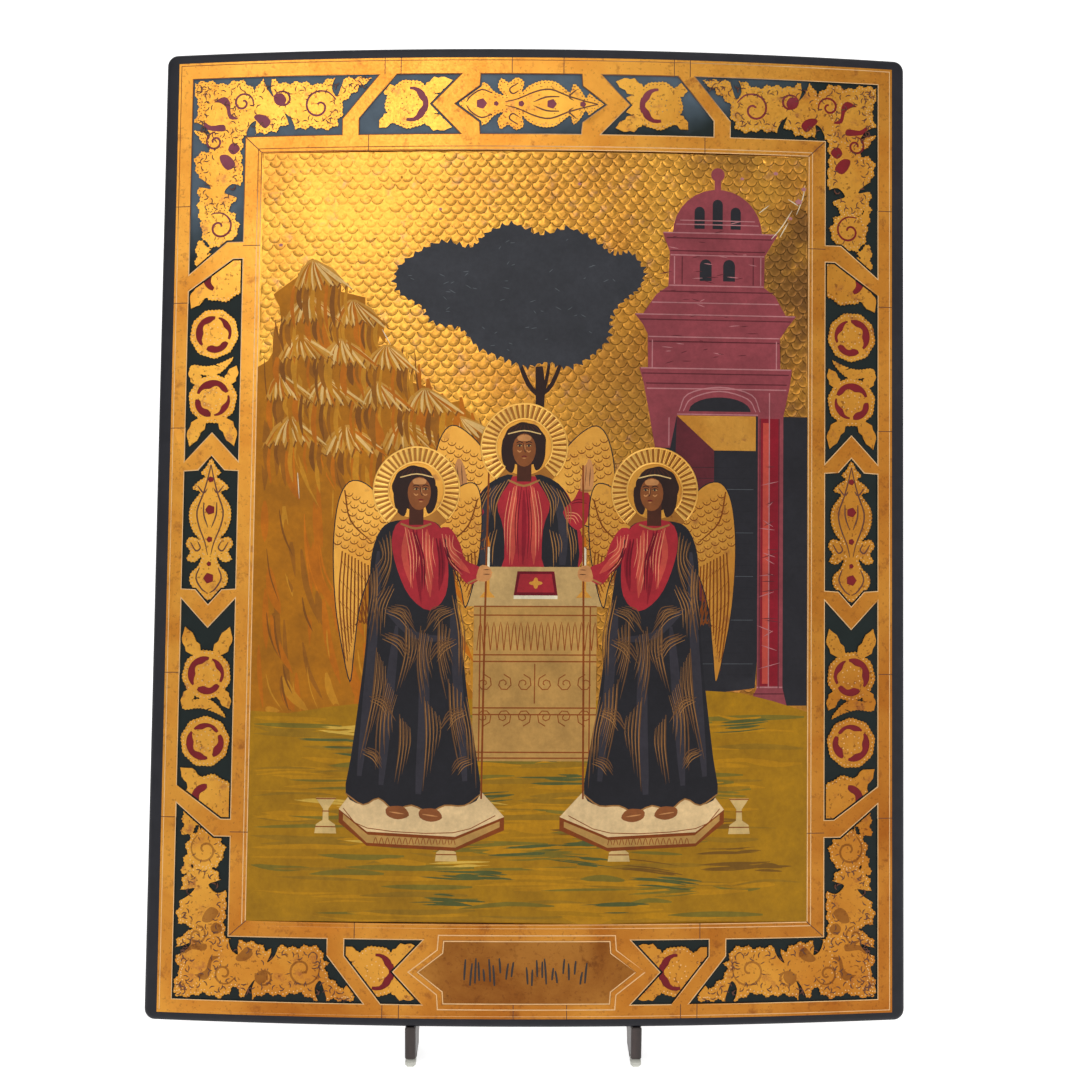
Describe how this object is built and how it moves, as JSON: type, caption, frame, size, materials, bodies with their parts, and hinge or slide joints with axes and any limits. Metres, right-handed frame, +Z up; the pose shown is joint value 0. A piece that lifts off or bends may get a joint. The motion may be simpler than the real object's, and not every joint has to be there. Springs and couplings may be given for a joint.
{
  "type": "religious icon on a table easel",
  "caption": "Bowed wooden panel with a painted scene, gilded scale ground and carved gilded border, leaning on a small dark wooden easel with pale tips.",
  "frame": {"origin": "middle of the bounding box in X and Y, at the height of the table under the feet", "axes": "+Z up, the painted side faces -Y and leans back towards +Y, +X is the viewer's right"},
  "size_m": [0.3508, 0.1486, 0.461],
  "materials": {
    "painted_panel": "gilded and painted gesso over limewood",
    "batten_wood": "planed, unfinished",
    "stand_wood": "dark stain, satin",
    "foot_tip": "matte"
  },
  "bodies": {
    "root": {"icon_board": "painted_panel", "batten_upper": "batten_wood", "batten_lower": "batten_wood", "stand_upright_left": "stand_wood", "stand_upright_right": "stand_wood", "stand_leg_left": "stand_wood", "stand_leg_right": "stand_wood", "stand_tie_left": "stand_wood", "stand_tie_right": "stand_wood", "stand_dowel_upper": "stand_wood", "stand_dowel_lower": "stand_wood", "foot_tip_front_left": "foot_tip", "foot_tip_front_right": "foot_tip", "foot_tip_rear_left": "foot_tip", "foot_tip_rear_right": "foot_tip"}
  },
  "joints": []
}
